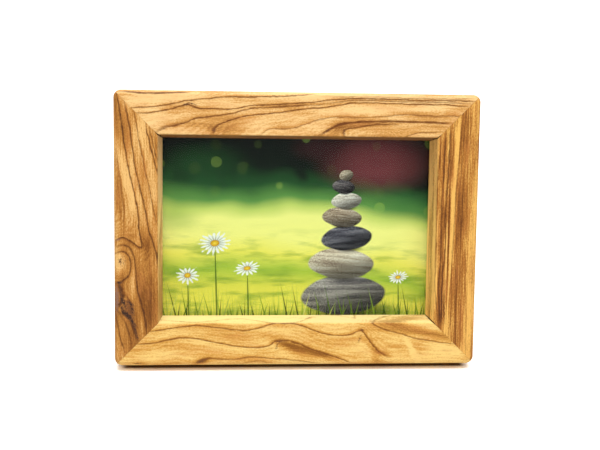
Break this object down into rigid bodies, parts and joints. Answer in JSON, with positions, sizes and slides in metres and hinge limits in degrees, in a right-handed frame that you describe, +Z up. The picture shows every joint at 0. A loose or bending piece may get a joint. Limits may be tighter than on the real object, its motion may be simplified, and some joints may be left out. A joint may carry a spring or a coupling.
{
  "type": "picture frame",
  "caption": "Landscape table picture frame with mitred olive wood rails, a glazed print and an easel leg that folds flat, shown leaning back on its leg.",
  "frame": {"origin": "middle of the footprint on the table, under the middle of the object's width and depth", "axes": "+Z up, the picture faces -Y and leans back, +X to the right as seen from the front"},
  "size_m": [0.197, 0.0634, 0.1485],
  "materials": {
    "olive_wood": "sanded and oiled, satin",
    "float_glass": "clear, polished",
    "printed_paper": "gloss photo paper with a printed picture",
    "fibreboard": "smooth raw board",
    "zinc_steel": "zinc plated, satin",
    "brassed_steel": "brass plated, bright"
  },
  "bodies": {
    "frame": {"rail_top": "olive_wood", "rail_bottom": "olive_wood", "rail_left": "olive_wood", "rail_right": "olive_wood", "v_nail_bottom_left": "zinc_steel", "v_nail_top_left": "zinc_steel", "v_nail_top_right": "zinc_steel", "v_nail_bottom_right": "zinc_steel", "glass_pane": "float_glass", "picture_print": "printed_paper", "back_panel": "fibreboard", "turn_button_screw_bottom_left": "zinc_steel", "turn_button_screw_bottom_right": "zinc_steel", "turn_button_screw_left": "zinc_steel", "turn_button_screw_right": "zinc_steel", "turn_button_screw_top_left": "zinc_steel", "turn_button_screw_top_right": "zinc_steel", "hanger_plate": "brassed_steel", "hanger_nail_left": "brassed_steel", "hanger_nail_right": "brassed_steel", "hinge_panel_leaf": "zinc_steel", "hinge_pin": "zinc_steel", "hinge_rivet_panel_left": "brassed_steel", "hinge_rivet_panel_right": "brassed_steel"},
    "leg": {"easel_leg": "fibreboard", "hinge_leg_leaf": "zinc_steel", "hinge_rivet_leg_left": "brassed_steel", "hinge_rivet_leg_right": "brassed_steel"},
    "button_bottom_left": {"turn_button_bottom_left": "zinc_steel"},
    "button_bottom_right": {"turn_button_bottom_right": "zinc_steel"},
    "button_left": {"turn_button_left": "zinc_steel"},
    "button_right": {"turn_button_right": "zinc_steel"},
    "button_top_left": {"turn_button_top_left": "zinc_steel"},
    "button_top_right": {"turn_button_top_right": "zinc_steel"}
  },
  "joints": [
    {"name": "leg_fold", "type": "hinge", "parent": "frame", "child": "leg", "pos_m": [0, 0.01026, 0.09534], "axis": [-1, 0, 0], "range_deg": [0, 24]},
    {"name": "button_bottom_left_turn", "type": "hinge", "parent": "frame", "child": "button_bottom_left", "pos_m": [-0.05, -0.00954, 0.01418], "axis": [0, 0.9781, -0.2079], "continuous": true},
    {"name": "button_bottom_right_turn", "type": "hinge", "parent": "frame", "child": "button_bottom_right", "pos_m": [0.05, -0.00954, 0.01418], "axis": [0, 0.9781, -0.2079], "continuous": true},
    {"name": "button_left_turn", "type": "hinge", "parent": "frame", "child": "button_left", "pos_m": [-0.084, 0.00283, 0.07238], "axis": [0, 0.9781, -0.2079], "continuous": true},
    {"name": "button_right_turn", "type": "hinge", "parent": "frame", "child": "button_right", "pos_m": [0.084, 0.00283, 0.07238], "axis": [0, 0.9781, -0.2079], "continuous": true},
    {"name": "button_top_left_turn", "type": "hinge", "parent": "frame", "child": "button_top_left", "pos_m": [-0.05, 0.0152, 0.13058], "axis": [0, 0.9781, -0.2079], "continuous": true},
    {"name": "button_top_right_turn", "type": "hinge", "parent": "frame", "child": "button_top_right", "pos_m": [0.05, 0.0152, 0.13058], "axis": [0, 0.9781, -0.2079], "continuous": true}
  ]
}
